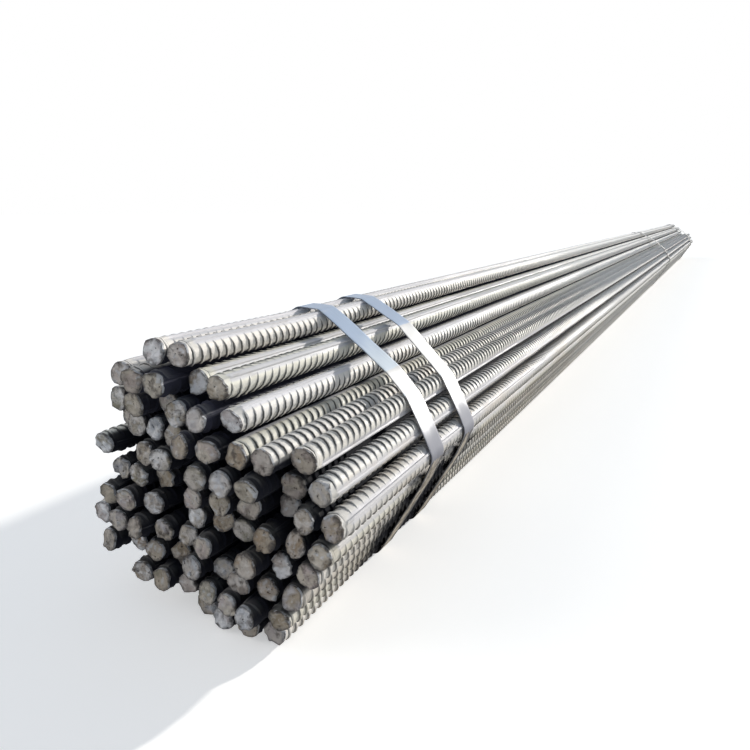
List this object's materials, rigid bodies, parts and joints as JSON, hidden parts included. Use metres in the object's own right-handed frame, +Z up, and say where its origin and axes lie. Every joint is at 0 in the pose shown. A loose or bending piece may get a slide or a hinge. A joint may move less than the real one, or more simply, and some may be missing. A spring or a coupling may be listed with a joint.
{
  "type": "rebar bundle",
  "caption": "Long round bundle of ribbed steel reinforcing bars with sheared ends, bound by flat steel straps near each end and at the middle.",
  "frame": {"origin": "middle of the bundle's underside, where its straps lie on the floor", "axes": "+X along the bars from the near end to the far end, +Z up, +Y to the left seen from the near end"},
  "size_m": [6.1446, 0.3222, 0.293],
  "materials": {
    "bar_steel": "hot-rolled ribbed steel, bright and slightly warm, with brown sheared ends",
    "strap_steel": "smooth bright steel strapping, scuffed"
  },
  "bodies": {
    "root": {"bar_layer_01": "bar_steel", "bar_layer_02": "bar_steel", "bar_layer_03": "bar_steel", "bar_layer_04": "bar_steel", "bar_layer_05": "bar_steel", "bar_layer_06": "bar_steel", "bar_layer_07": "bar_steel", "bar_layer_08": "bar_steel", "bar_layer_09": "bar_steel", "bar_layer_10": "bar_steel", "bar_layer_11": "bar_steel", "near_outer_strap": "strap_steel", "near_inner_strap": "strap_steel", "middle_strap": "strap_steel", "far_inner_strap": "strap_steel", "far_outer_strap": "strap_steel"}
  },
  "joints": []
}
